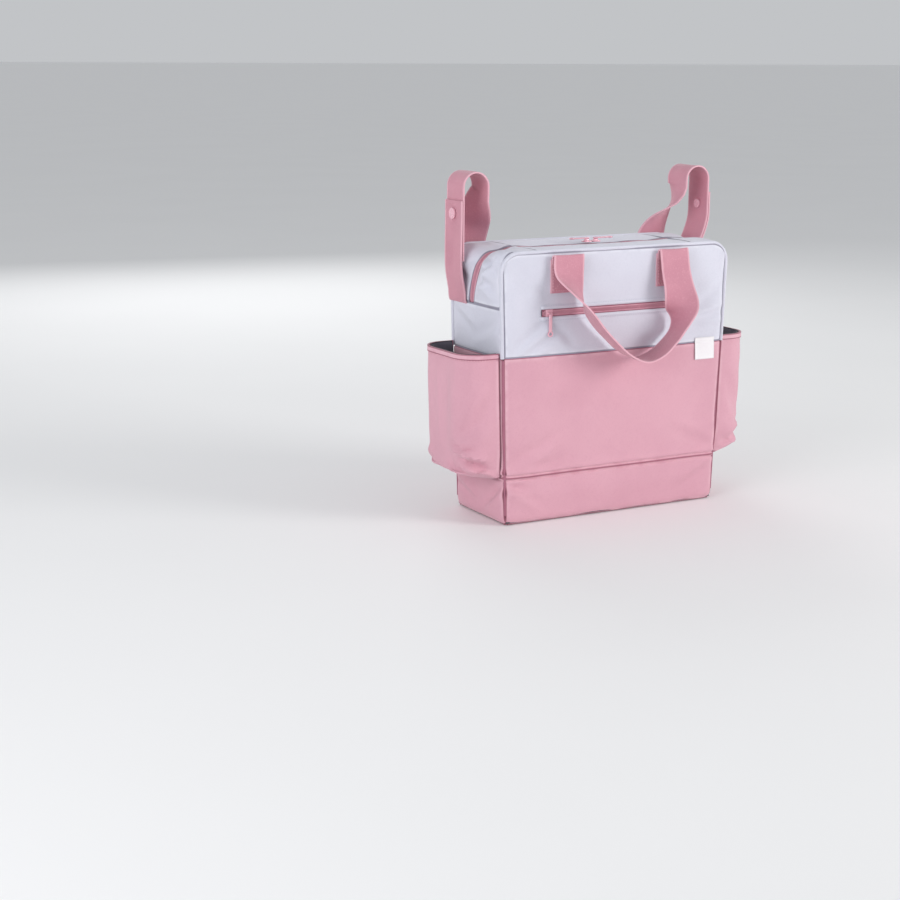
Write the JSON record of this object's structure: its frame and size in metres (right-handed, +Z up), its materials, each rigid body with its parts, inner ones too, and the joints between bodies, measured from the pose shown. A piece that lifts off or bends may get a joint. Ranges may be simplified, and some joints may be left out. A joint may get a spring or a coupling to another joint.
{
  "type": "changing bag",
  "caption": "Box-shaped two-tone fabric changing bag with zipped top, zipped front pocket, open side pockets, hanging carrying handles and snapped bar straps for a pushchair.",
  "frame": {"origin": "middle of the underside, on the surface that the bag stands on", "axes": "+Z up, front of the bag towards -Y, +X to the right of someone facing the front"},
  "size_m": [0.4366, 0.2458, 0.4555],
  "materials": {
    "pink_fabric": "matt woven polyester, fine plain weave",
    "grey_fabric": "matt woven polyester, fine plain weave",
    "webbing": "ribbed woven webbing",
    "zip_tape": "woven zip tape with a moulded coil",
    "zip_metal": "satin enamel",
    "snap": "smooth moulded",
    "lining": "thin plain-weave lining",
    "board": "plain sheet",
    "foam": "closed-cell foam sheet",
    "label": "woven label, blank"
  },
  "bodies": {
    "bag": {"base_panel": "pink_fabric", "front_base_band": "pink_fabric", "back_base_band": "pink_fabric", "left_base_band": "pink_fabric", "right_base_band": "pink_fabric", "left_gusset_lower": "pink_fabric", "right_gusset_lower": "pink_fabric", "front_panel_lower": "pink_fabric", "back_panel": "pink_fabric", "left_pocket": "pink_fabric", "right_pocket": "pink_fabric", "left_pocket_hem": "pink_fabric", "right_pocket_hem": "pink_fabric", "left_gusset_upper": "grey_fabric", "right_gusset_upper": "grey_fabric", "left_arch_front": "grey_fabric", "left_arch_back": "grey_fabric", "right_arch_front": "grey_fabric", "right_arch_back": "grey_fabric", "front_panel_upper": "grey_fabric", "front_piping": "grey_fabric", "back_piping": "grey_fabric", "front_handle_patch_left": "webbing", "front_handle_patch_right": "webbing", "back_handle_patch_left": "webbing", "back_handle_patch_right": "webbing", "left_bar_anchor": "webbing", "right_bar_anchor": "webbing", "left_side_zip": "zip_tape", "right_side_zip": "zip_tape", "front_zip_tape": "zip_tape", "main_lining": "lining", "front_pocket_bag": "lining", "base_board": "board", "back_foam": "foam", "label": "label"},
    "top_front": {"top_front_flap": "grey_fabric", "top_front_zip": "zip_tape"},
    "top_back": {"top_back_flap": "grey_fabric", "top_back_zip": "zip_tape"},
    "main_slider_left": {"main_slider_left": "zip_metal"},
    "main_slider_right": {"main_slider_right": "zip_metal"},
    "main_pull_left": {"main_pull_left": "zip_metal"},
    "main_pull_right": {"main_pull_right": "zip_metal"},
    "front_slider": {"front_slider": "zip_metal"},
    "front_pull": {"front_pull": "zip_metal"},
    "front_handle": {"front_handle": "webbing"},
    "back_handle": {"back_handle": "webbing"},
    "left_bar_tab": {"left_bar_tab": "webbing", "left_snap_cap": "snap"},
    "right_bar_tab": {"right_bar_tab": "webbing", "right_snap_cap": "snap"},
    "left_bar_loop": {"left_bar_loop": "webbing", "left_snap_socket": "snap"},
    "right_bar_loop": {"right_bar_loop": "webbing", "right_snap_socket": "snap"}
  },
  "joints": [
    {"name": "top_front_hinge", "type": "hinge", "parent": "bag", "child": "top_front", "pos_m": [0, -0.0615, 0.35875], "axis": [1, 0, 0], "range_deg": [0, 80]},
    {"name": "top_back_hinge", "type": "hinge", "parent": "bag", "child": "top_back", "pos_m": [0, 0.0615, 0.35875], "axis": [1, 0, 0], "range_deg": [-80, 0]},
    {"name": "main_slider_left_slide", "type": "slide", "parent": "top_front", "child": "main_slider_left", "axis": [-1, 0, 0], "range_m": [0, 0.105]},
    {"name": "main_slider_right_slide", "type": "slide", "parent": "top_front", "child": "main_slider_right", "axis": [1, 0, 0], "range_m": [0, 0.105]},
    {"name": "main_pull_left_hinge", "type": "hinge", "parent": "main_slider_left", "child": "main_pull_left", "pos_m": [-0.0048, 0, 0.3651], "axis": [0, 1, 0], "range_deg": [0, 110]},
    {"name": "main_pull_right_hinge", "type": "hinge", "parent": "main_slider_right", "child": "main_pull_right", "pos_m": [0.0048, 0, 0.3651], "axis": [0, -1, 0], "range_deg": [0, 110]},
    {"name": "front_slider_slide", "type": "slide", "parent": "bag", "child": "front_slider", "axis": [1, 0, 0], "range_m": [0, 0.214]},
    {"name": "front_pull_hinge", "type": "hinge", "parent": "front_slider", "child": "front_pull", "pos_m": [-0.107, -0.0732, 0.275], "axis": [0, 1, 0], "range_deg": [-85, 85]},
    {"name": "front_handle_hinge", "type": "hinge", "parent": "bag", "child": "front_handle", "pos_m": [0, -0.0725, 0.349], "axis": [-1, 0, 0], "range_deg": [0, 138]},
    {"name": "back_handle_hinge", "type": "hinge", "parent": "bag", "child": "back_handle", "pos_m": [0, 0.0725, 0.349], "axis": [1, 0, 0], "range_deg": [0, 138]},
    {"name": "left_bar_tab_hinge", "type": "hinge", "parent": "bag", "child": "left_bar_tab", "pos_m": [-0.17927, 0.045, 0.2885], "axis": [0, -1, 0], "range_deg": [0, 130]},
    {"name": "right_bar_tab_hinge", "type": "hinge", "parent": "bag", "child": "right_bar_tab", "pos_m": [0.17927, 0.045, 0.2885], "axis": [0, 1, 0], "range_deg": [0, 115]},
    {"name": "left_bar_loop_hinge", "type": "hinge", "parent": "bag", "child": "left_bar_loop", "pos_m": [-0.146, 0.0715, 0.335], "axis": [-1, 0, 0], "range_deg": [0, 160]},
    {"name": "right_bar_loop_hinge", "type": "hinge", "parent": "bag", "child": "right_bar_loop", "pos_m": [0.146, 0.0715, 0.335], "axis": [-1, 0, 0], "range_deg": [0, 160]}
  ],
  "couplings": [
    {"joint": "top_back_hinge", "follows": "top_front_hinge", "ratio": -1}
  ]
}
